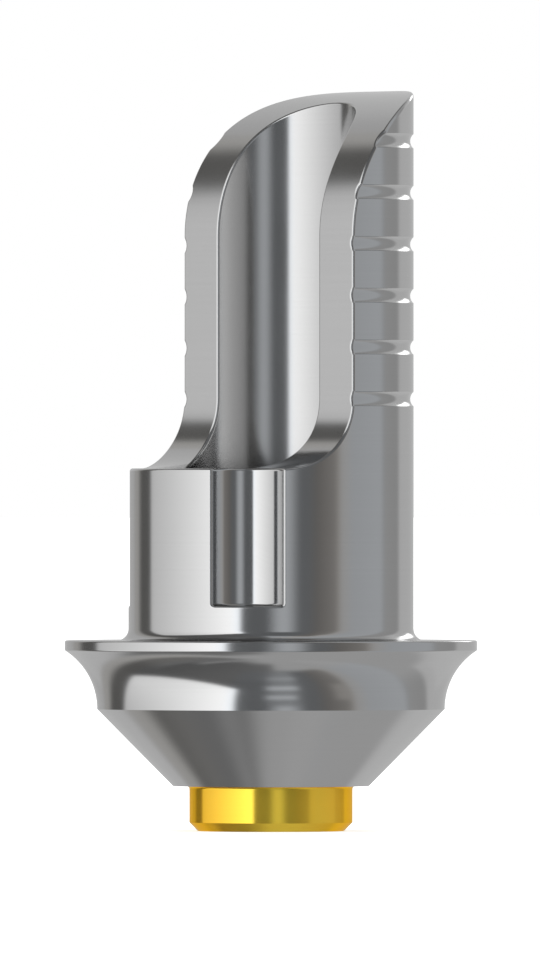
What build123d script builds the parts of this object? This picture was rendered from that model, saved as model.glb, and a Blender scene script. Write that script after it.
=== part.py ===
from build123d import *
import os
from math import acos, degrees, radians, sin

# Titanium abutment base for a cemented crown, turned and milled from one bar.
# Sizes are in millimetres. The origin is on the screw axis, in the plane of the
# seat that meets the implant. +Z points up the chimney and the chimney opens
# towards -Y, so the YZ plane is its mirror plane.

# Spigot that drops into the implant
spigot_r = 1.048
spigot_length = 0.576
spigot_chamfer = 0.11
spigot_fillet = 0.04

# Seat on the implant and the cone that rises from it through the gum
seat_r = 1.258
waist_r = 2.229
cone_height = 0.987

# Concave flare from the waist out to the flange that carries the crown's edge
flare_r = 0.889
rim_r = 2.644
rim_land = 0.129
rim_round = 0.025

# Chimney that the crown is cemented on
column_r = 1.828
neck_fillet = 0.15
chimney_top_z = 8.924

# Screw channel down the chimney and the clearance hole for the screw's shank
channel_r = 1.085
shank_hole_r = 0.85
screw_seat_z = 0.9

# Opening in the front of the chimney: an upright wall close to the screw axis,
# a crest that rounds back to the chimney's rear edge, and a foot on the shelf
shelf_z = 4.072
opening_face_y = -0.05
crest_overrun = 20.0
foot_r = 0.9
edge_round = 0.036

# Rings round the chimney that key the cement
ring_count = 6
ring_pitch = 0.661
ring_lowest_z = 4.96
ring_depth = 0.043
ring_cutter_r = 0.123

# Two scooped keyways that stop the crown from turning, each this deep at its middle
keyway_r = 0.55
keyway_depth = 0.33
keyway_floor_z = 2.317
keyway_azimuth = 43.8

# Room that the cutters have past the metal
cutter_overrun = 1.0

crest_r = column_r - opening_face_y
crest_centre_z = chimney_top_z - crest_r
blank_top_z = chimney_top_z + cutter_overrun
flare_centre_x = waist_r + flare_r
flare_sweep = degrees(acos((flare_centre_x - rim_r) / flare_r))
flange_z = cone_height + flare_r * sin(radians(flare_sweep)) + rim_land
front_clear_y = -column_r - cutter_overrun
ring_centre_r = column_r - ring_depth + ring_cutter_r
keyway_centre_r = column_r - keyway_depth + keyway_r

# Half-plane in front of the screw axis: its x runs to the front and its y runs up
front_half = Plane(origin=(0, 0, 0), x_dir=(0, -1, 0), z_dir=(-1, 0, 0))

with BuildPart() as abutment:

    # Turned blank: half of its outline, turned about the screw axis
    with BuildSketch(front_half) as blank:
        with BuildLine():
            Polyline(
                (0, blank_top_z),
                (0, -spigot_length),
                (spigot_r, -spigot_length),
                (spigot_r, 0),
                (seat_r, 0),
                (waist_r, cone_height),
            )
            flare = CenterArc((flare_centre_x, cone_height), flare_r, 180, -flare_sweep)
            Polyline(
                flare @ 1,
                (rim_r, flange_z),
                (column_r, flange_z),
                (column_r, blank_top_z),
                (0, blank_top_z),
            )
        make_face()
        rim_corners = blank.vertices().group_by(Axis.X)[-1]
        fillet(rim_corners, rim_round)
        neck_corner = blank.vertices().sort_by_distance((column_r, flange_z))[0]
        fillet(neck_corner, neck_fillet)
        spigot_root = blank.vertices().sort_by_distance((spigot_r, 0))[0]
        fillet(spigot_root, spigot_fillet)
        spigot_tip = blank.vertices().sort_by_distance((spigot_r, -spigot_length))[0]
        chamfer(spigot_tip, spigot_chamfer)
    revolve(axis=Axis.Z)

    # Screw channel with a flat seat for the screw's head, and the shank's hole below it
    with BuildSketch(front_half) as bores:
        with Locations((0, screw_seat_z)):
            Rectangle(channel_r, blank_top_z - screw_seat_z, align=Align.MIN)
        with Locations((0, -spigot_length)):
            Rectangle(shank_hole_r, screw_seat_z + spigot_length, align=Align.MIN)
    revolve(axis=Axis.Z, mode=Mode.SUBTRACT)

    # Opening, milled straight across the chimney. The crest's arc runs on past
    # the rear edge, so that its highest line lies over that edge
    with BuildSketch(Plane.YZ) as opening:
        with BuildLine():
            crest = CenterArc(
                (column_r, crest_centre_z), crest_r, 90 - crest_overrun, 90 + crest_overrun
            )
            wall = Line(crest @ 1, (opening_face_y, shelf_z + foot_r))
            foot = JernArc(wall @ 1, wall % 1, foot_r, -90)
            Polyline(
                foot @ 1,
                (front_clear_y, shelf_z),
                (front_clear_y, blank_top_z),
                ((crest @ 0).X, blank_top_z),
                crest @ 0,
            )
        make_face()
    extrude(amount=column_r + cutter_overrun, both=True, mode=Mode.SUBTRACT)

    # Its edges are rounded, along the outside and down the channel. The edges left
    # out run straight across the wall, where its faces meet smoothly
    rims = abutment.edges(Select.LAST).filter_by(Axis.X, reverse=True)
    fillet(rims.filter_by_position(Axis.Z, shelf_z - edge_round, chimney_top_z), edge_round)

    # Keyways, sunk from the shelf with a round cutter whose axis is outside the column
    with BuildSketch(Plane.XY.offset(keyway_floor_z)) as keyways:
        with PolarLocations(
            keyway_centre_r, 2, -90 - keyway_azimuth, 2 * keyway_azimuth, endpoint=True
        ):
            Circle(keyway_r)
    extrude(amount=shelf_z + foot_r - keyway_floor_z, mode=Mode.SUBTRACT)

    # Rings, turned last, so that their ends stay crisp where they meet the rounded edges
    with BuildSketch(front_half) as rings:
        ring_heights = [ring_lowest_z + ring * ring_pitch for ring in range(ring_count)]
        with Locations(*[(ring_centre_r, height) for height in ring_heights]):
            Circle(ring_cutter_r)
    revolve(axis=Axis.Z, mode=Mode.SUBTRACT)

abutment.part.label = "abutment"
os.makedirs("parts", exist_ok=True)
export_step(abutment.part, "parts/abutment.step")
print("volume", round(abutment.part.volume, 3), "mm3")
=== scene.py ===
import math

import bmesh
import bpy
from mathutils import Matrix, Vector
from mathutils.geometry import delaunay_2d_cdt


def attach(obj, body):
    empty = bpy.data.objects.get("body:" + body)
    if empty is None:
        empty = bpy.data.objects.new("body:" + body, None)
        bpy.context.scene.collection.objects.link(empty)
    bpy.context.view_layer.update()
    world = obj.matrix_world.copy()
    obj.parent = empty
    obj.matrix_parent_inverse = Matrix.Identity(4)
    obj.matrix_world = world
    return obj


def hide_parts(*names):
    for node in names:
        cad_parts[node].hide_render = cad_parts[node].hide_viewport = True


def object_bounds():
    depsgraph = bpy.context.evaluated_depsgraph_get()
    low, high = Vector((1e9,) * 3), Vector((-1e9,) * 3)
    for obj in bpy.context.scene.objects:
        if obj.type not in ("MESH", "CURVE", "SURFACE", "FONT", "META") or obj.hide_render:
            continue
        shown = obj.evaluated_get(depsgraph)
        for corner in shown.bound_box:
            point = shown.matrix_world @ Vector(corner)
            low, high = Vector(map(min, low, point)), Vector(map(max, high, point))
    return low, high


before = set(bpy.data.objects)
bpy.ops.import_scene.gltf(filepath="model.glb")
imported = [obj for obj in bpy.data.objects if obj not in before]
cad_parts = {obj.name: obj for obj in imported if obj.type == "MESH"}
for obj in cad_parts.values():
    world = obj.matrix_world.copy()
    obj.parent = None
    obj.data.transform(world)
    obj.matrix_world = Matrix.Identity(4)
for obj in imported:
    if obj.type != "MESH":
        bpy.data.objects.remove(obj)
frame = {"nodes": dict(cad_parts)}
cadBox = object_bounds()

mm = 0.001  # forms are written in millimetres, and Blender holds metres
tiny = 1e-5  # corners closer than this are one corner
netTolerance = 1e-7  # the same for the net that covers the shelf

print("frame loaded:", ", ".join(frame["nodes"]))

# The abutment's sizes in millimetres. Heights count from the seat on the implant
form = {
    "spigotRadius": 1.048,
    "spigotLength": 0.576,
    "spigotChamfer": 0.11,
    "spigotFillet": 0.04,
    "seatRadius": 1.258,
    "waistRadius": 2.229,
    "coneHeight": 0.987,
    "flareRadius": 0.889,
    "rimRadius": 2.644,
    "rimLand": 0.129,
    "rimRound": 0.025,
    "neckFillet": 0.15,
    "columnRadius": 1.828,
    "topHeight": 8.924,
    "channelRadius": 1.085,
    "shankHoleRadius": 0.85,
    "screwSeatHeight": 0.9,
    "shelfHeight": 4.072,
    "wallOffset": -0.05,
    "footRadius": 0.9,
    "edgeRound": 0.036,
}

# Rings round the chimney, each cut by a round cutter
ringForm = {
    "count": 6,
    "pitch": 0.661,
    "lowest": 4.96,
    "depth": 0.043,
    "cutterRadius": 0.123,
}

# Keyways that stop the crown from turning. The azimuth is in degrees from the opening's middle
keywayForm = {
    "radius": 0.55,
    "depth": 0.33,
    "floor": 2.317,
    "azimuth": 43.8,
    "floorFillet": 0.036,
}

# How finely the faces are divided. Steps and the snap are in degrees, spacings and the room
# in millimetres, and the rest are counts
fineness = {
    "turnStep": 2.0,
    "archStep": 3.0,
    "leastArchStep": 0.35,
    "fixedArchStep": 0.3,
    "wallSnap": 0.02,
    "edgeCount": 6,
    "ringCount": 8,
    "keywayCount": 20,
    "frontCount": 16,
    "channelFrontCount": 18,
    "faceCount": 3,
    "flareCount": 28,
    "neckCount": 8,
    "lowRimCount": 5,
    "topRimCount": 6,
    "spigotCount": 6,
    "stationSpacing": 0.004,
    "shelfSpacing": 0.09,
    "shelfRoom": 0.03,
}

edgeRound = form["edgeRound"]
columnRadius = form["columnRadius"]
channelRadius = form["channelRadius"]
outerRoundRadius = columnRadius - edgeRound
innerRoundRadius = channelRadius + edgeRound

footCentre = (form["wallOffset"] - form["footRadius"], form["shelfHeight"] + form["footRadius"])
crestRadius = columnRadius - form["wallOffset"]
crestCentre = (columnRadius, form["topHeight"] - crestRadius)

flareCentreRadius = form["waistRadius"] + form["flareRadius"]
flareTop = form["coneHeight"] + math.sqrt(
    form["flareRadius"] ** 2 - (flareCentreRadius - form["rimRadius"]) ** 2
)
flangeHeight = flareTop + form["rimLand"]
neckTop = flangeHeight + form["neckFillet"]

upward = Vector((0, 0, 1))

# Faces are gathered here for the half at +X: corners, their normals and a finish
gathered = []


def addFace(corners, normals, finish):
    kept = []
    for corner, normal in zip(corners, normals):
        if not kept or (corner - kept[-1][0]).length > tiny:
            kept.append((corner, normal))
    if len(kept) > 1 and (kept[0][0] - kept[-1][0]).length <= tiny:
        kept.pop()
    if len(kept) < 3:
        return
    facing = Vector((0, 0, 0))
    for place, (corner, _) in enumerate(kept):
        facing += corner.cross(kept[(place + 1) % len(kept)][0])
    wanted = sum((normal for _, normal in kept), Vector((0, 0, 0)))
    if facing.dot(wanted) < 0:
        kept.reverse()
    gathered.append(([corner for corner, _ in kept], [normal for _, normal in kept], finish))


def addGrid(points, normals, finish):
    for row in range(len(points) - 1):
        for place in range(len(points[row]) - 1):
            spots = [(row, place), (row, place + 1), (row + 1, place + 1), (row + 1, place)]
            addFace([points[i][j] for i, j in spots], [normals[i][j] for i, j in spots], finish)


def evenly(start, end, steps):
    return [start + (end - start) * step / steps for step in range(steps + 1)]


def aroundAxis(radius, angle, height):
    # angle counts from the front of the opening, towards +X
    return Vector((radius * math.sin(angle), -radius * math.cos(angle), height))


def between(first, second, share):
    # unit vector part of the way round from first to second
    turn = first.angle(second)
    return (first * math.sin((1 - share) * turn) + second * math.sin(share * turn)) / math.sin(turn)


# Turned faces: runs of (radius, height, normal's radial part, normal's upward part)
def straightRun(start, end):
    along = Vector((end[0] - start[0], end[1] - start[1])).normalized()
    return [(*start, along.y, -along.x), (*end, along.y, -along.x)]


def arcRun(centre, radius, start, end, steps, hollow):
    sign = -1 if hollow else 1
    run = []
    for angle in evenly(math.radians(start), math.radians(end), steps):
        c, s = math.cos(angle), math.sin(angle)
        run.append((centre[0] + radius * c, centre[1] + radius * s, sign * c, sign * s))
    return run


def addTurned(run, angles, finish):
    points = [[aroundAxis(r, a, z) for a in angles] for r, z, _, _ in run]
    normals = [[aroundAxis(nr, a, nz) for a in angles] for _, _, nr, nz in run]
    addGrid(points, normals, finish)


# The cut that opens the chimney, as a path in the mirror plane. Each station has its
# point, its normal and the centre of the round on its edges
def station(normalRise, arch):
    ny, nz = -math.cos(normalRise), math.sin(normalRise)
    if arch == "foot":
        y = footCentre[0] - form["footRadius"] * ny
        z = footCentre[1] - form["footRadius"] * nz
    else:
        y = crestCentre[0] + crestRadius * ny
        z = crestCentre[1] + crestRadius * nz
    normal = Vector((0, ny, nz))
    return {"y": y, "z": z, "normal": normal, "yRound": y - edgeRound * ny, "zRound": z - edgeRound * nz}


def wallStation(height):
    y = form["wallOffset"]
    return {"y": y, "z": height, "normal": Vector((0, -1, 0)), "yRound": y + edgeRound, "zRound": height}


def shelfStation(y):
    z = form["shelfHeight"]
    return {"y": y, "z": z, "normal": upward, "yRound": y, "zRound": z - edgeRound}


def frontStation(yRound):
    # the station of the shelf or the foot whose round has its centre at yRound
    if yRound <= footCentre[0]:
        return shelfStation(yRound)
    return station(math.acos((yRound - footCentre[0]) / (form["footRadius"] + edgeRound)), "foot")


def thinned(values, least):
    kept = []
    for value in sorted(values):
        if not kept or value - kept[-1] > least:
            kept.append(value)
    return kept


# Rings: a round cutter's groove. The rounds on the opening's edges dip into the rings, so
# their centres follow a larger circle about the cutter, from mitre to mitre
ringCutter = ringForm["cutterRadius"]
roundCutter = ringCutter + edgeRound
ringCentreRadius = columnRadius - ringForm["depth"] + ringCutter
ringHalfWidth = math.sqrt(ringCutter ** 2 - (ringCentreRadius - columnRadius) ** 2)
mitreHalf = math.sqrt(roundCutter ** 2 - (ringCentreRadius - outerRoundRadius) ** 2)
ringHeights = [ringForm["lowest"] + ring * ringForm["pitch"] for ring in range(ringForm["count"])]
ringHalfTurn = math.asin(ringHalfWidth / ringCutter)
ringTurns = evenly(-ringHalfTurn, ringHalfTurn, fineness["ringCount"])


def ringStops(low, high):
    # heights of the round's centre where a ring begins, deepens and ends
    stops = []
    for middle in ringHeights:
        stops += [middle - mitreHalf, middle + mitreHalf]
        stops += [middle + roundCutter * math.sin(turn) for turn in ringTurns[1:-1]]
    return [stop for stop in stops if low < stop < high]


def archRises(arch):
    # rises of the normal, close enough together both along the path and round the axis
    top = 90.0 if arch == "foot" else math.degrees(math.acos(edgeRound / (crestRadius - edgeRound)))
    rises = set(evenly(0.0, top, round(top / fineness["archStep"])))
    for radius in (outerRoundRadius, innerRoundRadius):
        for angle in evenly(0, 180, round(180 / fineness["turnStep"])):
            y = -radius * math.cos(math.radians(angle))
            if arch == "foot":
                share = (y - footCentre[0]) / (form["footRadius"] + edgeRound)
            else:
                share = (crestCentre[0] - y) / (crestRadius - edgeRound)
            if 0 < share < 1:
                rises.add(math.degrees(math.acos(share)))
    fixed = [0.0, top]
    if arch == "foot":
        reach = form["footRadius"] + edgeRound
        fixed += [math.degrees(math.asin((footCentre[1] - z) / reach)) for z in ringStops(0, footCentre[1])]
    else:
        reach = crestRadius - edgeRound
        fixed.append(math.degrees(math.acos((crestCentre[0] - innerRoundRadius) / reach)))
        over = ringStops(crestCentre[1], form["topHeight"])
        fixed += [math.degrees(math.asin((z - crestCentre[1]) / reach)) for z in over]
    free = [rise for rise in thinned(rises, fineness["leastArchStep"]) if 0 < rise < top]
    free = [rise for rise in free if all(abs(rise - stop) > fineness["fixedArchStep"] for stop in fixed)]
    return sorted(free + fixed)


def ringAt(height):
    for middle in ringHeights:
        if abs(height - middle) < ringCutter:
            return middle
    return None


def ringRadius(height):
    middle = ringAt(height)
    if middle is None:
        return math.inf
    return ringCentreRadius - math.sqrt(ringCutter ** 2 - (height - middle) ** 2)


def ringNormal(point, middle):
    outward = Vector((point.x, point.y, 0)).normalized()
    toCentre = outward * ringCentreRadius + Vector((0, 0, middle)) - point
    return toCentre.normalized()


def angleOf(yRound, radius):
    return math.acos(max(-1.0, min(1.0, -yRound / radius)))


def edgeBall(at):
    # the round's centre at a station: its distance from the axis, its angle, the ring that it
    # dips into, and the height where it leaves the column
    reach, ring, leaves = outerRoundRadius, None, at["zRound"]
    for middle in ringHeights:
        above = at["zRound"] - middle
        if abs(above) < mitreHalf + tiny:
            ring = middle
            reach = ringCentreRadius - math.sqrt(roundCutter ** 2 - min(abs(above), mitreHalf) ** 2)
            leaves = middle + above * ringCutter / roundCutter
            if abs(above) > mitreHalf - tiny:
                leaves = middle + math.copysign(ringHalfWidth, above)
    angle = angleOf(at["yRound"], reach)
    if abs(angle - wallAngle) < math.radians(fineness["wallSnap"]):
        angle = wallAngle
    return reach, angle, ring, leaves


def atMitre(at, ring):
    return ring is not None and abs(abs(at["zRound"] - ring) - mitreHalf) < tiny


# Stations from the foot, up the wall and over the crest to the rear
wallAngle = angleOf(form["wallOffset"] + edgeRound, outerRoundRadius)
footStations = [station(math.radians(r), "foot") for r in reversed(archRises("foot"))]
crestStations = [station(math.radians(r), "crest") for r in archRises("crest")]
wallStarts, wallEnds = edgeBall(footStations[-1])[3], edgeBall(crestStations[0])[3]


def heightRows():
    # heights where the faces of the column are divided
    floor = keywayForm["floor"]
    rows = [neckTop, floor - edgeRound, floor + keywayForm["floorFillet"], wallStarts, wallEnds]
    for middle in ringHeights:
        rows += [middle + ringCutter * math.sin(turn) for turn in ringTurns]
    return sorted(rows) + [form["topHeight"]]


columnRows = heightRows()
wallStops = [z for z in ringStops(wallStarts, wallEnds) if footCentre[1] < z < crestCentre[1]]
wallStations = [wallStation(z) for z in sorted(wallStops)]
risingStations = footStations + wallStations + crestStations


def faceOutside(at):
    # half the width of the cut face at a station, out to the outer round
    reach, angle, _, _ = edgeBall(at)
    return reach * math.sin(angle)


def faceInside(at):
    # the same, in to the inner round
    return math.sqrt(max(0.0, innerRoundRadius ** 2 - at["yRound"] ** 2))


def inChannel(at):
    return at["yRound"] <= innerRoundRadius + tiny


# Keyway: its centre, and the angles of the rounds that stand at its two sides
keyAngle = math.radians(keywayForm["azimuth"])
keyCentreRadius = columnRadius - keywayForm["depth"] + keywayForm["radius"]
keyCentre = aroundAxis(keyCentreRadius, keyAngle, 0)
keyRoundRadius = keywayForm["radius"] + edgeRound


def keyBall(rise):
    # half the angle between the rounds, and their height, where the sides turn into the floor
    fillet = keywayForm["floorFillet"]
    away = keywayForm["radius"] - fillet + (fillet + edgeRound) * math.cos(rise)
    cosine = outerRoundRadius ** 2 + keyCentreRadius ** 2 - away ** 2
    cosine /= 2 * outerRoundRadius * keyCentreRadius
    return math.acos(cosine), keywayForm["floor"] + fillet - (fillet + edgeRound) * math.sin(rise)


keySides = [keyAngle - keyBall(0)[0], keyAngle + keyBall(0)[0]]
filletRises = evenly(0, math.pi / 2, fineness["edgeCount"])


def keyOutline():
    # round the foot of the keyway: angle, height and rise of the face there
    path = [(keyAngle - keyBall(rise)[0], keyBall(rise)[1], rise) for rise in filletRises]
    across = keyBall(math.pi / 2)[0]
    along = evenly(keyAngle - across, keyAngle + across, fineness["keywayCount"])
    path += [(angle, keywayForm["floor"] - edgeRound, math.pi / 2) for angle in along[1:-1]]
    return path + [(keyAngle + keyBall(rise)[0], keyBall(rise)[1], rise) for rise in reversed(filletRises)]


def keySweep(rise):
    # directions from the keyway's centre to its rounds, from the front one to the rear one
    halfTurn = keyBall(rise)[0]
    ends = [aroundAxis(outerRoundRadius, keyAngle + sign * halfTurn, 0) - keyCentre for sign in (-1, 1)]
    front, rear = [math.atan2(end.y, end.x) for end in ends]
    if front < rear:
        front += 2 * math.pi
    return evenly(front, rear, fineness["keywayCount"] * 2)


keyTurns = keySweep(0)
frontAngles = evenly(0, keySides[0], fineness["frontCount"])
innerFrontAngles = evenly(0, angleOf(footCentre[0], innerRoundRadius), fineness["channelFrontCount"])
keyRear = -outerRoundRadius * math.cos(keySides[1])
rearStations = [at for at in footStations if at["yRound"] > keyRear + fineness["stationSpacing"]]


def roundRows(centre, sideNormal, cutNormal, steps):
    normals = [between(sideNormal, cutNormal, share) for share in evenly(0, 1, steps)]
    return [centre + normal * edgeRound for normal in normals], normals


def outerEdge(at):
    # the round between the column and the cut face: its points, and its normals towards the
    # station below and the one above, which differ at a ring's lip
    steps = fineness["edgeCount"]
    reach, angle, ring, leaves = edgeBall(at)
    centre = aroundAxis(reach, angle, at["zRound"])
    outward = aroundAxis(1, angle, 0)
    points, below = roundRows(centre, outward, at["normal"], steps)
    above = below
    if ring is not None:
        toCutter = aroundAxis(ringCentreRadius, angle, ring) - centre
        ringPoints, ringNormals = roundRows(centre, toCutter.normalized(), at["normal"], steps)
        if atMitre(at, ring):
            points = [(first + second) / 2 for first, second in zip(points, ringPoints)]
            points[0] = aroundAxis(columnRadius, angle, leaves)
            below, above = (below, ringNormals) if at["zRound"] < ring else (ringNormals, below)
        else:
            points, below, above = ringPoints, ringNormals, ringNormals
    points[-1] = Vector((centre.x, at["y"], at["z"]))
    return points, below, above


def innerEdge(at):
    # the round between the channel and the cut face
    centre = Vector((faceInside(at), at["yRound"], at["zRound"]))
    inward = -Vector((centre.x, centre.y, 0)).normalized()
    return roundRows(centre, inward, at["normal"], fineness["edgeCount"])


def addOuterEdge(stations):
    edges = [outerEdge(at) for at in stations]
    for (low, _, lowNormals), (high, highNormals, _) in zip(edges, edges[1:]):
        addGrid([low, high], [lowNormals, highNormals], "milled")


def cutCells(block, rows):
    # corners of the faces between the block's columns (angle, top) and the rows, cut off at the tops
    for low, high in zip(rows, rows[1:]):
        for (angleA, topA), (angleB, topB) in zip(block, block[1:]):
            spots = [(angleA, min(low, topA)), (angleB, min(low, topB))]
            spots += [(angleB, min(high, topB)), (angleA, min(high, topA))]
            yield low, high, spots


def addColumn():
    # the outside of the chimney: columns of faces up to the round on the cut's edge
    front = [(a, frontStation(-outerRoundRadius * math.cos(a))["zRound"]) for a in frontAngles]
    keyed = [(angle, height) for angle, height, _ in keyOutline()]
    corner = frontStation(keyRear)
    rear = [(keySides[1], corner["zRound"])] + [edgeBall(at)[1::2] for at in rearStations]
    crest = [edgeBall(at)[1::2] for at in crestStations]
    for block in (front, keyed, rear, crest):
        for low, high, spots in cutCells(block, columnRows):
            middle = ringAt((low + high) / 2)
            inRing = middle is not None and abs((low + high) / 2 - middle) < ringHalfWidth
            corners, normals = [], []
            for angle, height in spots:
                radius = min(columnRadius, ringRadius(height)) if inRing else columnRadius
                point = aroundAxis(radius, angle, height)
                corners.append(point)
                normals.append(ringNormal(point, middle) if inRing else aroundAxis(1, angle, 0))
            addFace(corners, normals, "turned")


def addChannel():
    # the wall of the screw channel, up to the round on its edge
    front = [(a, frontStation(-innerRoundRadius * math.cos(a))["zRound"]) for a in innerFrontAngles]
    foot = [(angleOf(at["yRound"], innerRoundRadius), at["zRound"]) for at in footStations]
    inside = [at for at in crestStations if inChannel(at)]
    crest = [(angleOf(at["yRound"], innerRoundRadius), at["zRound"]) for at in inside]
    rows = [form["screwSeatHeight"], footCentre[1]] + [at["zRound"] for at in wallStations]
    rows += [crestCentre[1], form["topHeight"]]
    for block in (front, foot, crest):
        for _, _, spots in cutCells(block, rows):
            corners = [aroundAxis(channelRadius, angle, height) for angle, height in spots]
            normals = [aroundAxis(-1, angle, 0) for angle, _ in spots]
            addFace(corners, normals, "bored")
    return [angle for angle, _ in front + foot[1:] + crest[1:]]


def frontSurface(y):
    # height and normal of the shelf or the foot
    if y <= footCentre[0]:
        return form["shelfHeight"], upward
    at = station(math.acos((y - footCentre[0]) / form["footRadius"]), "foot")
    return at["z"], at["normal"]


def shelfOutline(split):
    # round the shelf and the start of the foot: along the front, round the keyway, across the
    # face at the station where the net ends, and back along the channel
    outline = []
    for angle in frontAngles:
        outline.append((outerRoundRadius * math.sin(angle), -outerRoundRadius * math.cos(angle)))
    for turn in keyTurns[1:]:
        at = frontStation(keyCentre.y + keyRoundRadius * math.sin(turn))
        outline.append((keyCentre.x + keyRoundRadius * math.cos(turn), at["y"]))
    last = footStations[split]
    for at in rearStations:
        if at["yRound"] <= last["yRound"] + tiny:
            outline.append((faceOutside(at), at["y"]))
    across = evenly(faceInside(last), faceOutside(last), fineness["faceCount"])
    outline += [(x, last["y"]) for x in reversed(across[:-1])]
    for at in reversed(footStations[:split]):
        outline.append((faceInside(at), at["y"]))
    for angle in reversed(innerFrontAngles[:-1]):
        outline.append((innerRoundRadius * math.sin(angle), -innerRoundRadius * math.cos(angle)))
    return outline


def shelfPoints(rearmost):
    # evenly spaced points inside the outline, with some room to it
    step, room = fineness["shelfSpacing"], fineness["shelfRoom"]
    counts = range(1, math.ceil(columnRadius / step))
    points = []
    for row in counts:
        for place in counts:
            x, y = place * step, -columnRadius + row * step
            fromAxis = math.hypot(x, y)
            fromKey = math.hypot(x - keyCentre.x, y - keyCentre.y)
            onShelf = innerRoundRadius + room < fromAxis < outerRoundRadius - room
            if onShelf and fromKey > keyRoundRadius + room and y < rearmost - room:
                points.append((x, y))
    return points


def addCutFace():
    # shelf and start of the foot as one net, then rows across the face to the rear
    netEnd = keyCentre.y + keyRoundRadius + fineness["shelfRoom"]
    split = next(place for place, at in enumerate(footStations) if at["yRound"] > netEnd)
    outline = shelfOutline(split)
    places = [Vector(spot) for spot in outline + shelfPoints(footStations[split]["y"])]
    netPoints, _, triangles, sources, _, _ = delaunay_2d_cdt(
        places, [], [list(range(len(outline)))], 1, netTolerance
    )
    for triangle in triangles:
        corners, normals = [], []
        for index in triangle:
            spot = places[sources[index][0]] if sources[index] else netPoints[index]
            height, normal = frontSurface(spot.y)
            corners.append(Vector((spot.x, spot.y, height)))
            normals.append(normal)
        addFace(corners, normals, "milled")
    points, normals = [], []
    for at in risingStations[split:]:
        inside = faceInside(at) if inChannel(at) else 0.0
        across = evenly(inside, faceOutside(at), fineness["faceCount"])
        points.append([Vector((x, at["y"], at["z"])) for x in across])
        normals.append([at["normal"]] * len(across))
    addGrid(points, normals, "milled")


def addKeywayRounds():
    # round between the keyway and the column: down one side, along the floor and up the other
    steps = fineness["edgeCount"]
    tops = [frontStation(-outerRoundRadius * math.cos(side))["zRound"] for side in keySides]
    path = [(keySides[0], tops[0], 0.0)] + keyOutline() + [(keySides[1], tops[1], 0.0)]
    points, normals = [], []
    for angle, height, rise in path:
        centre = aroundAxis(outerRoundRadius, angle, height)
        toKey = (keyCentre - Vector((centre.x, centre.y, 0))).normalized()
        inward = toKey * math.cos(rise) + upward * math.sin(rise)
        row = roundRows(centre, aroundAxis(1, angle, 0), inward, steps)
        points.append(row[0])
        normals.append(row[1])
    addGrid(points, normals, "milled")
    # corners where the sides' rounds meet the rounds of the shelf
    for side, row, top in zip(keySides, (normals[0], normals[-1]), tops):
        corner = aroundAxis(outerRoundRadius, side, top)
        cutNormal = frontStation(corner.y)["normal"]
        fans = [[between(direction, cutNormal, share) for share in evenly(0, 1, steps)] for direction in row]
        addGrid([[corner + normal * edgeRound for normal in fan] for fan in fans], fans, "milled")
    return [row[-1] for row, spot in zip(points, path) if spot[2] == filletRises[-1]]


def addKeywayWall():
    # wall of the keyway and the round on its upper edge
    foot = keywayForm["floor"] + keywayForm["floorFillet"]
    feet, heads, faceNormals, edgePoints, edgeNormals = [], [], [], [], []
    for turn in keyTurns:
        outward = Vector((math.cos(turn), math.sin(turn), 0))
        middle = keyCentre + outward * keyRoundRadius
        at = frontStation(middle.y)
        onWall = keyCentre + outward * keywayForm["radius"]
        feet.append(Vector((onWall.x, onWall.y, foot)))
        heads.append(Vector((onWall.x, onWall.y, at["zRound"])))
        faceNormals.append(-outward)
        centre = Vector((middle.x, middle.y, at["zRound"]))
        edge = roundRows(centre, -outward, at["normal"], fineness["edgeCount"])
        edgePoints.append(edge[0])
        edgeNormals.append(edge[1])
    addGrid([feet, heads], [faceNormals, faceNormals], "keyed")
    addGrid(edgePoints, edgeNormals, "milled")


def addKeywayFillet():
    # fillet at the foot of the wall. It gives back its lowest line
    fillet = keywayForm["floorFillet"]
    points, normals = [], []
    for rise in filletRises:
        line, lineNormals = [], []
        for turn in keySweep(rise):
            outward = Vector((math.cos(turn), math.sin(turn), 0))
            normal = upward * math.sin(rise) - outward * math.cos(rise)
            centre = keyCentre + outward * (keywayForm["radius"] - fillet)
            centre += upward * (keywayForm["floor"] + fillet)
            line.append(centre - normal * fillet)
            lineNormals.append(normal)
        points.append(line)
        normals.append(lineNormals)
    addGrid(points, normals, "keyed")
    return points[-1]


def addKeyway():
    front = addKeywayRounds()
    addKeywayWall()
    back = addKeywayFillet()
    # floor of the keyway: strips from the fillet, which has two steps for each of the edge's
    for place in range(len(front) - 1):
        strip = back[2 * place:2 * place + 3] + [front[place + 1], front[place]]
        addFace(strip, [upward] * len(strip), "milled")


def gildedRuns():
    # the spigot: its chamfer, its side and the fillet under the seat
    radius, fillet = form["spigotRadius"], form["spigotFillet"]
    end = -form["spigotLength"]
    chamferTop = end + form["spigotChamfer"]
    return [
        straightRun((radius - form["spigotChamfer"], end), (radius, chamferTop)),
        straightRun((radius, chamferTop), (radius, -fillet)),
        arcRun((radius + fillet, -fillet), fillet, 180, 90, fineness["spigotCount"], True),
    ]


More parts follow.
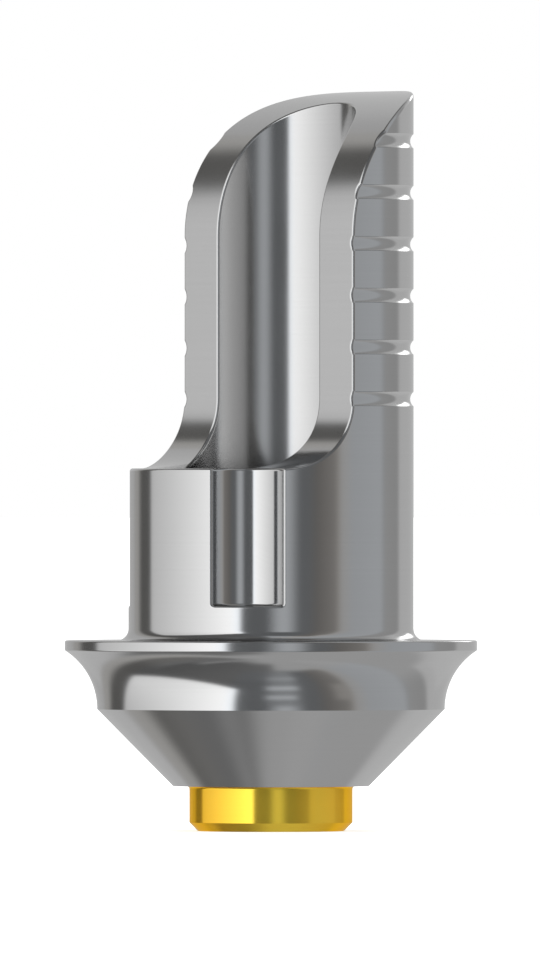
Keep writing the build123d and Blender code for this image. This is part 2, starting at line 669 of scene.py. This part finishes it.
def turnedRuns():
    # from the seat up to the chimney: cone, flare, rim, flange and neck
    coneHeight, flareRadius = form["coneHeight"], form["flareRadius"]
    rimRadius, rimRound = form["rimRadius"], form["rimRound"]
    rimMiddle = rimRadius - rimRound
    reach = flareRadius + rimRound
    lowRound = coneHeight + math.sqrt(reach ** 2 - (flareCentreRadius - rimMiddle) ** 2)
    topRound = flangeHeight - rimRound
    flareEnd = math.degrees(math.atan2(lowRound - coneHeight, rimMiddle - flareCentreRadius))
    neckCentre = (columnRadius + form["neckFillet"], neckTop)
    return [
        straightRun((form["spigotRadius"] + form["spigotFillet"], 0), (form["seatRadius"], 0)),
        straightRun((form["seatRadius"], 0), (form["waistRadius"], coneHeight)),
        arcRun((flareCentreRadius, coneHeight), flareRadius, 180, flareEnd, fineness["flareCount"], True),
        arcRun((rimMiddle, lowRound), rimRound, flareEnd - 180, 0, fineness["lowRimCount"], False),
        straightRun((rimRadius, lowRound), (rimRadius, topRound)),
        arcRun((rimMiddle, topRound), rimRound, 0, 90, fineness["topRimCount"], False),
        straightRun((rimMiddle, flangeHeight), (neckCentre[0], flangeHeight)),
        arcRun(neckCentre, form["neckFillet"], 270, 180, fineness["neckCount"], True),
    ]


def addBottomRing(innerAngles, outerAngles):
    # flat end of the spigot, zipped between circles that are divided differently
    down = Vector((0, 0, -1))
    bottom = -form["spigotLength"]
    inner = [aroundAxis(form["shankHoleRadius"], a, bottom) for a in innerAngles]
    outer = [aroundAxis(form["spigotRadius"] - form["spigotChamfer"], a, bottom) for a in outerAngles]
    i = j = 0
    while i < len(inner) - 1 or j < len(outer) - 1:
        stepOuter = i == len(inner) - 1
        if not stepOuter and j < len(outer) - 1:
            stepOuter = outerAngles[j + 1] < innerAngles[i + 1]
        if stepOuter:
            addFace([inner[i], outer[j], outer[j + 1]], [down] * 3, "gilded")
            j += 1
        else:
            addFace([inner[i], outer[j], inner[i + 1]], [down] * 3, "gilded")
            i += 1


def gatherHalf():
    addColumn()
    channelAngles = addChannel()
    addCutFace()
    addOuterEdge([frontStation(-outerRoundRadius * math.cos(a)) for a in frontAngles])
    corner = frontStation(keyRear)
    addOuterEdge([corner] + rearStations + wallStations + crestStations)
    inner = [frontStation(-innerRoundRadius * math.cos(a)) for a in innerFrontAngles]
    inner += risingStations[1:]
    edges = [innerEdge(at) for at in inner if inChannel(at)]
    addGrid([edge[0] for edge in edges], [edge[1] for edge in edges], "milled")
    addKeyway()
    outerAngles = frontAngles + [angle for angle, _, _ in keyOutline()[1:]]
    outerAngles += [edgeBall(at)[1] for at in rearStations + crestStations[1:]]
    for run in gildedRuns():
        addTurned(run, outerAngles, "gilded")
    for run in turnedRuns():
        addTurned(run, outerAngles, "turned")
    seat = form["screwSeatHeight"]
    shank = form["shankHoleRadius"]
    addTurned(straightRun((channelRadius, seat), (shank, seat)), channelAngles, "bored")
    addTurned(straightRun((shank, seat), (shank, -form["spigotLength"])), channelAngles, "bored")
    addBottomRing(channelAngles, outerAngles)


finishOrder = ["turned", "milled", "bored", "keyed", "gilded"]


def makeMesh():
    # both halves in one mesh, welded, with the exact normals of its forms
    mesh = bpy.data.meshes.new("abutmentMetal")
    built = bmesh.new()
    cornerLayer = built.loops.layers.float_vector.new("formNormal")
    for sign in (1, -1):
        mirror = Vector((sign, 1, 1))
        for corners, normals, finish in gathered:
            order = range(len(corners)) if sign == 1 else range(len(corners) - 1, -1, -1)
            face = built.faces.new([built.verts.new(corners[i] * mirror) for i in order])
            face.smooth = True
            face.material_index = finishOrder.index(finish)
            for loop, i in zip(face.loops, order):
                loop[cornerLayer] = normals[i] * mirror
    bmesh.ops.remove_doubles(built, verts=built.verts, dist=tiny * 2)
    # a sliver under a micrometre wide stays open on each side, where the wall meets the crest
    slivers = [edge for edge in built.edges if len(edge.link_faces) == 1]
    for face in bmesh.ops.holes_fill(built, edges=slivers, sides=3)["faces"]:
        face.smooth = True
    bmesh.ops.scale(built, verts=built.verts, vec=Vector((mm, mm, mm)))
    # rounding lifts the crest's tip by nanometres
    for corner in built.verts:
        corner.co.z = min(corner.co.z, cadBox[1][2])
    openEdges = sum(1 for edge in built.edges if len(edge.link_faces) != 2)
    built.to_mesh(mesh)
    exact = [Vector(item.vector).normalized() for item in mesh.attributes["formNormal"].data]
    mesh.attributes.remove(mesh.attributes["formNormal"])
    mesh.normals_split_custom_set(exact)
    built.free()
    print("abutment mesh:", len(mesh.polygons), "faces,", openEdges, "open edges")
    return mesh


gatherHalf()
print("half of the faces gathered:", len(gathered))
metalPiece = bpy.data.objects.new("abutment_metal", makeMesh())
bpy.context.scene.collection.objects.link(metalPiece)
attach(metalPiece, "root")
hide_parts("abutment")


# Finishes. Marks of the tool and clouds of wear, for the titanium and for the gold
wear = {
    "marksPitch": 0.000035,
    "marksHeight": 0.0000035,
    "marksDrift": 60,
    "streakScale": 1.0,
    "streakDetail": 2.0,
    "cloudScale": 900.0,
    "cloudDetail": 3.0,
}


def mathNode(nodes, links, operation, first, second=None):
    node = nodes.new("ShaderNodeMath")
    node.operation = operation
    for place, value in enumerate((first, second)):
        if value is None:
            continue
        if isinstance(value, (int, float)):
            node.inputs[place].default_value = value
        else:
            links.new(value, node.inputs[place])
    return node.outputs[0]


def noiseAlong(nodes, links, coordinate, scale, detail):
    node = nodes.new("ShaderNodeTexNoise")
    node.inputs["Scale"].default_value = scale
    node.inputs["Detail"].default_value = detail
    links.new(coordinate, node.inputs["Vector"])
    return node.outputs["Fac"]


def toolCoordinate(nodes, links, marks):
    # a coordinate that runs fast across the tool's marks and slowly along them
    place = nodes.new("ShaderNodeTexCoord").outputs["Object"]
    parts = nodes.new("ShaderNodeSeparateXYZ")
    links.new(place, parts.inputs[0])
    join = nodes.new("ShaderNodeCombineXYZ")
    if marks == "turned":
        square = [mathNode(nodes, links, "MULTIPLY", parts.outputs[i], parts.outputs[i]) for i in (0, 1)]
        sideways = mathNode(nodes, links, "SQRT", mathNode(nodes, links, "ADD", *square))
        slow = (0, 1)
    else:
        sideways = parts.outputs[1]
        slow = (0, 2)
    fast = mathNode(nodes, links, "ADD", sideways, parts.outputs[2])
    links.new(mathNode(nodes, links, "MULTIPLY", fast, 1 / wear["marksPitch"]), join.inputs[0])
    for socket, axis in zip((1, 2), slow):
        drift = mathNode(nodes, links, "MULTIPLY", parts.outputs[axis], wear["marksDrift"])
        links.new(drift, join.inputs[socket])
    return join.outputs[0], place


def newFinish(name, marks, look):
    # a material with its look's edge tint, roughness and tool marks. The grain is left for its tone
    material = bpy.data.materials.new(name)
    material.use_nodes = True
    nodes, links = material.node_tree.nodes, material.node_tree.links
    shader = nodes["Principled BSDF"]
    shader.inputs["Metallic"].default_value = look["metallic"]
    shader.inputs["Specular Tint"].default_value = (*look["edgeTone"], 1)
    across, place = toolCoordinate(nodes, links, marks)
    streaks = noiseAlong(nodes, links, across, wear["streakScale"], wear["streakDetail"])
    clouds = noiseAlong(nodes, links, place, wear["cloudScale"], wear["cloudDetail"])
    spread = nodes.new("ShaderNodeMapRange")
    spread.inputs["To Min"].default_value, spread.inputs["To Max"].default_value = look["roughness"]
    links.new(clouds, spread.inputs["Value"])
    links.new(spread.outputs[0], shader.inputs["Roughness"])
    bump = nodes.new("ShaderNodeBump")
    bump.inputs["Strength"].default_value = look["marksDepth"]
    bump.inputs["Distance"].default_value = wear["marksHeight"]
    links.new(streaks, bump.inputs["Height"])
    links.new(bump.outputs[0], shader.inputs["Normal"])
    return material, place, mathNode(nodes, links, "ADD", streaks, clouds)


def mixTones(material, tones, share):
    nodes, links = material.node_tree.nodes, material.node_tree.links
    mix = nodes.new("ShaderNodeMix")
    mix.data_type = "RGBA"
    mix.inputs[6].default_value = (*tones[0], 1)
    mix.inputs[7].default_value = (*tones[1], 1)
    links.new(share, mix.inputs[0])
    links.new(mix.outputs[2], nodes["Principled BSDF"].inputs["Base Color"])


# Each finish's shade scales its tones. Below 1 it is painted shade that darkens the bored channel and the
# keyway, which are hollows, and above 1 it lightens the turned and milled faces a little
titaniumLook = {
    "tones": [(0.503, 0.503, 0.503), (0.555, 0.555, 0.555)],
    "metallic": 1.0,
    "grainShare": 0.5,
    "turned": {"paintedShade": 1.01, "edge": 0.84, "roughness": (0.11, 0.16), "marksDepth": 0.025},
    "milled": {"paintedShade": 1.02, "edge": 0.98, "roughness": (0.12, 0.17), "marksDepth": 0.02},
    "bored": {"paintedShade": 0.95, "edge": 1.0, "roughness": (0.14, 0.20), "marksDepth": 0.01},
    "keyed": {"paintedShade": 0.98, "edge": 1.0, "roughness": (0.10, 0.14), "marksDepth": 0.015},
}


def titaniumFinish(finish):
    look = {**titaniumLook, **titaniumLook[finish]}
    look["edgeTone"] = [look["edge"]] * 3
    marks = "turned" if finish in ("turned", "bored") else "milled"
    material, _, grain = newFinish("titanium_" + finish, marks, look)
    nodes, links = material.node_tree.nodes, material.node_tree.links
    # painted shade: the tones are scaled darker in the hollows and a little lighter outside
    tones = [[part * look["paintedShade"] for part in tone] for tone in look["tones"]]
    mixTones(material, tones, mathNode(nodes, links, "MULTIPLY", grain, look["grainShare"]))
    return material


goldLook = {
    "tones": [(1.0, 0.57, 0.05), (1.0, 0.73, 0.08)],
    "edgeTone": (0.95, 0.68, 0.2),
    "metallic": 0.83,
    "roughness": (0.12, 0.18),
    "marksDepth": 0.03,
    # three lobes of the drift, turned so that a yellow, brighter one faces the camera's side as a painted
    # sheen
    "sheenLobes": 3,
    "sheenTurn": 57.0,
    "sheenShare": 0.4,
    "leastShare": 0.25,
    "grainShare": 0.25,
}


def goldFinish():
    # the film's colour drifts between orange and yellow round the spigot in three lobes. The yellower,
    # brighter lobe is turned towards the camera's side, so the drift is partly a painted sheen
    look = goldLook
    material, place, grain = newFinish("gold_anodising", "turned", look)
    nodes, links = material.node_tree.nodes, material.node_tree.links
    parts = nodes.new("ShaderNodeSeparateXYZ")
    links.new(place, parts.inputs[0])
    backward = mathNode(nodes, links, "MULTIPLY", parts.outputs[1], -1.0)
    angle = mathNode(nodes, links, "ARCTAN2", parts.outputs[0], backward)
    turned = mathNode(nodes, links, "SUBTRACT", angle, math.radians(look["sheenTurn"]))
    sheenLobes = mathNode(nodes, links, "COSINE", mathNode(nodes, links, "MULTIPLY", turned, look["sheenLobes"]))
    drift = mathNode(nodes, links, "MULTIPLY", sheenLobes, look["sheenShare"])
    drift = mathNode(nodes, links, "ADD", drift, look["leastShare"])
    grain = mathNode(nodes, links, "MULTIPLY", grain, look["grainShare"])
    mixTones(material, look["tones"], mathNode(nodes, links, "ADD", drift, grain))
    return material


for finish in finishOrder:
    metalPiece.data.materials.append(goldFinish() if finish == "gilded" else titaniumFinish(finish))
print("finishes made")

# Camera: a long lens, level with the chimney's foot. Lengths in metres
cameraPlace = {
    "azimuth": 53.5,
    "distance": 0.3,
    "height": 0.003923,
    "sideStep": 0.0000124,
    "frameHeight": 0.012308,
    "sensor": 36.0,
    "clip": (0.01, 20.0),
}


def makeCamera():
    place = cameraPlace
    data = bpy.data.cameras.new("longLens")
    data.sensor_width = place["sensor"]
    data.lens = place["sensor"] * place["distance"] / place["frameHeight"]
    data.clip_start, data.clip_end = place["clip"]
    camera = bpy.data.objects.new("longLens", data)
    turn = math.radians(place["azimuth"])
    toCamera = Vector((math.sin(turn), -math.cos(turn), 0))
    toRight = Vector((math.cos(turn), math.sin(turn), 0))
    lift = Vector((0, 0, place["height"]))
    camera.location = toCamera * place["distance"] - toRight * place["sideStep"] + lift
    camera.rotation_mode = "QUATERNION"
    camera.rotation_quaternion = (-toCamera).to_track_quat("-Z", "Y")
    bpy.context.scene.collection.objects.link(camera)
    bpy.context.scene.camera = camera


makeCamera()

# Light tent that the metal mirrors. Angles are in degrees, and azimuth counts from the camera
# towards its right. A card is as bright as start at one side and as end at the other
lightTent = {"radius": 0.1, "step": 2.0, "base": 0.43, "level": 1.205}
tentCards = [
    {"from": -205, "to": -9, "low": 48, "high": 100, "start": 0.15, "end": 0.13, "soft": 14},
    {"from": 53.5, "to": 102, "low": -84, "high": 100, "start": 0.41, "end": 0.47, "soft": 4},
    {"from": 102, "to": 126, "low": -34, "high": 100, "start": 0.37, "end": 0.34, "soft": 6, "fade": 20},
    {"from": 126, "to": 170, "low": -41, "high": 36, "start": 0.57, "end": 0.58, "soft": 6},
    {"from": 168, "to": 215, "low": -40, "high": 38, "start": 0.54, "end": 0.52, "soft": 6},
    {"from": 138, "to": 164, "low": -36, "high": -14, "start": 0.62, "end": 0.62, "soft": 8},
    {"from": 184, "to": 214, "low": -36, "high": -13, "start": 0.60, "end": 0.60, "soft": 8},
    {"from": 184, "to": 214, "low": -73, "high": -43, "start": 0.22, "end": 0.19, "soft": 8},
    {"from": 227, "to": 262, "low": -73, "high": 100, "start": 0.12, "end": 0.10, "soft": 10, "fade": 30},
    {"from": 229, "to": 258, "low": -82, "high": -52, "start": 0.19, "end": 0.18, "soft": 10, "fade": 16},
    {"from": -104, "to": 52, "low": -68, "high": 66, "start": 0.11, "end": 0.16, "soft": 7},
    {"from": -93, "to": 3, "low": -83.5, "high": -50, "start": 0.12, "end": 0.17, "soft": 10},
    {"from": 36, "to": 56, "low": -66, "high": 48, "start": 0.15, "end": 0.24, "soft": 8},
    {"from": 45, "to": 56, "low": -42, "high": -18, "start": 0.29, "end": 0.32, "soft": 8},
    {"from": 1.5, "to": 18, "low": -12, "high": 24, "start": 0.50, "end": 0.50, "soft": 14},
    {"from": -2, "to": 19, "low": -68, "high": -12, "start": 0.26, "end": 0.30, "soft": 12},
    {"from": -3, "to": 19, "low": -57, "high": -51, "start": 0.34, "end": 0.42, "soft": 6},
    {"from": -3, "to": 19, "low": -41, "high": -35, "start": 0.56, "end": 0.60, "soft": 6},
    {"from": -3, "to": 17, "low": -26, "high": -20, "start": 0.52, "end": 0.56, "soft": 6},
    {"from": 147, "to": 164, "low": 11, "high": 27, "start": 2.6, "end": 2.2, "soft": 3},
]
softBox = {
    "from": -113.5,
    "to": -24.5,
    "middle": -69,
    "reach": 45.2,
    "start": 0.685,
    "end": 1.525,
    "power": 1.45,
    "lift": 0.38,
    "liftDepth": 30,
    "soft": 3.5,
}
coolTint = (0.965, 1.0, 1.04)
warmTint = (1.05, 1.0, 0.95)
sandTint = (1.02, 1.0, 0.965)
tentTints = [
    {"from": -30, "to": 32, "tint": coolTint},
    {"from": 36, "to": 58, "tint": warmTint},
    {"from": 66, "to": 104, "tint": coolTint},
    {"from": 216, "to": 244, "tint": sandTint},
]
tintFade = {"low": -68, "high": 100, "soft": 14, "sideSoft": 6}


def window(value, low, high, soft):
    # 1 inside the range and 0 outside it, with soft ends
    rise = (value - low) / soft + 0.5
    fall = (high - value) / soft + 0.5
    share = max(0.0, min(1.0, rise, fall))
    return share * share * (3 - 2 * share)


def nearest(azimuth, card):
    # the same direction, counted so that it lies nearest the card's middle
    middle = (card["from"] + card["to"]) / 2
    return (azimuth - middle + 180) % 360 - 180 + middle


def cardShare(card, azimuth, low, high, elevation):
    # how far a card covers a direction, and how far along the card that is
    place = nearest(azimuth, card)
    share = window(place, card["from"], card["to"], card["soft"])
    share *= window(elevation, low, high, card.get("fade", card["soft"]))
    return share, max(0.0, min(1.0, (place - card["from"]) / (card["to"] - card["from"])))


def tentLevel(azimuth, elevation):
    level = lightTent["base"]
    for card in tentCards:
        share, along = cardShare(card, azimuth, card["low"], card["high"], elevation)
        level += (card["start"] + (card["end"] - card["start"]) * along - level) * share
    # the softbox is a flat panel, so its upper and lower edges bend towards the horizon at its
    # sides. Its dim end is brighter lower down
    box = softBox
    aside = math.radians(nearest(azimuth, box) - box["middle"])
    reach = math.degrees(math.atan(math.tan(math.radians(box["reach"])) * max(0.0, math.cos(aside))))
    share, along = cardShare(box, azimuth, -reach, reach, elevation)
    along += box["lift"] * (1 - along) ** 2 * max(0.0, min(1.0, -elevation / box["liftDepth"]))
    return level + (box["start"] + (box["end"] - box["start"]) * along ** box["power"] - level) * share


def tentTint(azimuth, elevation):
    colour = Vector((1, 1, 1))
    for band in tentTints:
        share = window(nearest(azimuth, band), band["from"], band["to"], tintFade["sideSoft"])
        share *= window(elevation, tintFade["low"], tintFade["high"], tintFade["soft"])
        colour = colour.lerp(Vector(band["tint"]), share)
    return colour


def glowMaterial():
    # shines in the colour that the tent's corners carry
    material = bpy.data.materials.new("tentCards")
    material.use_nodes = True
    nodes, links = material.node_tree.nodes, material.node_tree.links
    nodes.clear()
    reader = nodes.new("ShaderNodeAttribute")
    reader.attribute_name = "glow"
    emission = nodes.new("ShaderNodeEmission")
    emission.inputs["Strength"].default_value = lightTent["level"]
    output = nodes.new("ShaderNodeOutputMaterial")
    links.new(reader.outputs["Vector"], emission.inputs["Color"])
    links.new(emission.outputs[0], output.inputs[0])
    material.cycles.emission_sampling = "NONE"
    return material


def makeTent():
    step, radius = lightTent["step"], lightTent["radius"]
    across, rows = round(360 / step), round(180 / step)
    corners, glows, faces = [], [], []
    for row in range(rows + 1):
        elevation = -90 + row * step
        rise = math.radians(elevation)
        for place in range(across):
            azimuth = -180 + place * step
            angle = math.radians(cameraPlace["azimuth"]) + math.radians(azimuth)
            height = radius * math.sin(rise) + cameraPlace["height"]
            corners.append(aroundAxis(radius * math.cos(rise), angle, height))
            glows.extend(tentTint(azimuth, elevation) * tentLevel(azimuth, elevation))
    for row in range(rows):
        for place in range(across):
            low, lowBeside = row * across + place, row * across + (place + 1) % across
            faces.append([low, lowBeside, lowBeside + across, low + across])
    mesh = bpy.data.meshes.new("lightTent")
    mesh.from_pydata(corners, [], faces)
    glow = mesh.attributes.new("glow", "FLOAT_VECTOR", "POINT")
    glow.data.foreach_set("vector", glows)
    mesh.materials.append(glowMaterial())
    tent = bpy.data.objects.new("lightTent", mesh)
    tent.visible_camera = False
    tent.visible_diffuse = False
    tent.visible_shadow = False
    bpy.context.scene.collection.objects.link(tent)


makeTent()

# Floor and lamp. The lamp lights the floor and the gold film, and the metal mirrors the tent
floorLook = {"size": 4.0, "tone": (0.82, 0.82, 0.82), "lift": 0.55}
lampSetup = {"height": 0.08, "size": 0.12, "power": 0.055}
worldLevels = {"seen": 1.0, "ambient": 1.0}
white = (1, 1, 1, 1)


def seenRays(nodes, links):
    # 1 for rays from the camera and for rays that metal or glass sends on
    path = nodes.new("ShaderNodeLightPath")
    seen = mathNode(nodes, links, "MAXIMUM", path.outputs["Is Camera Ray"], path.outputs["Is Glossy Ray"])
    return mathNode(nodes, links, "MAXIMUM", seen, path.outputs["Is Transmission Ray"])


def makeFloor():
    half = floorLook["size"] / 2
    level = -form["spigotLength"] * mm
    mesh = bpy.data.meshes.new("floor")
    corners = [(-half, -half, level), (half, -half, level), (half, half, level), (-half, half, level)]
    mesh.from_pydata(corners, [], [(0, 1, 2, 3)])
    floor = bpy.data.objects.new("floor", mesh)
    material = bpy.data.materials.new("paleFloor")
    material.use_nodes = True
    nodes, links = material.node_tree.nodes, material.node_tree.links
    nodes.clear()
    matt = nodes.new("ShaderNodeBsdfDiffuse")
    matt.inputs["Color"].default_value = (*floorLook["tone"], 1)
    glow = nodes.new("ShaderNodeEmission")
    glow.inputs["Color"].default_value = white
    lift = mathNode(nodes, links, "MULTIPLY", seenRays(nodes, links), floorLook["lift"])
    links.new(lift, glow.inputs["Strength"])
    both = nodes.new("ShaderNodeAddShader")
    links.new(matt.outputs[0], both.inputs[0])
    links.new(glow.outputs[0], both.inputs[1])
    output = nodes.new("ShaderNodeOutputMaterial")
    links.new(both.outputs[0], output.inputs[0])
    mesh.materials.append(material)
    floor.visible_glossy = False
    bpy.context.scene.collection.objects.link(floor)


def makeLamp():
    data = bpy.data.lights.new("softLamp", "AREA")
    data.shape = "DISK"
    data.size = lampSetup["size"]
    data.energy = lampSetup["power"]
    lamp = bpy.data.objects.new("softLamp", data)
    lamp.location = (0, 0, lampSetup["height"])
    lamp.visible_camera = False
    lamp.visible_glossy = False
    bpy.context.scene.collection.objects.link(lamp)


def makeWorld():
    world = bpy.data.worlds.new("studio")
    bpy.context.scene.world = world
    world.use_nodes = True
    nodes, links = world.node_tree.nodes, world.node_tree.links
    nodes.clear()
    mix = nodes.new("ShaderNodeMixShader")
    links.new(seenRays(nodes, links), mix.inputs[0])
    for socket, level in ((1, worldLevels["ambient"]), (2, worldLevels["seen"])):
        background = nodes.new("ShaderNodeBackground")
        background.inputs["Color"].default_value = white
        background.inputs["Strength"].default_value = level
        links.new(background.outputs[0], mix.inputs[socket])
    output = nodes.new("ShaderNodeOutputWorld")
    links.new(mix.outputs[0], output.inputs[0])


makeFloor()
makeLamp()
makeWorld()
bpy.context.scene.view_settings.view_transform = "Standard"
print("studio made")
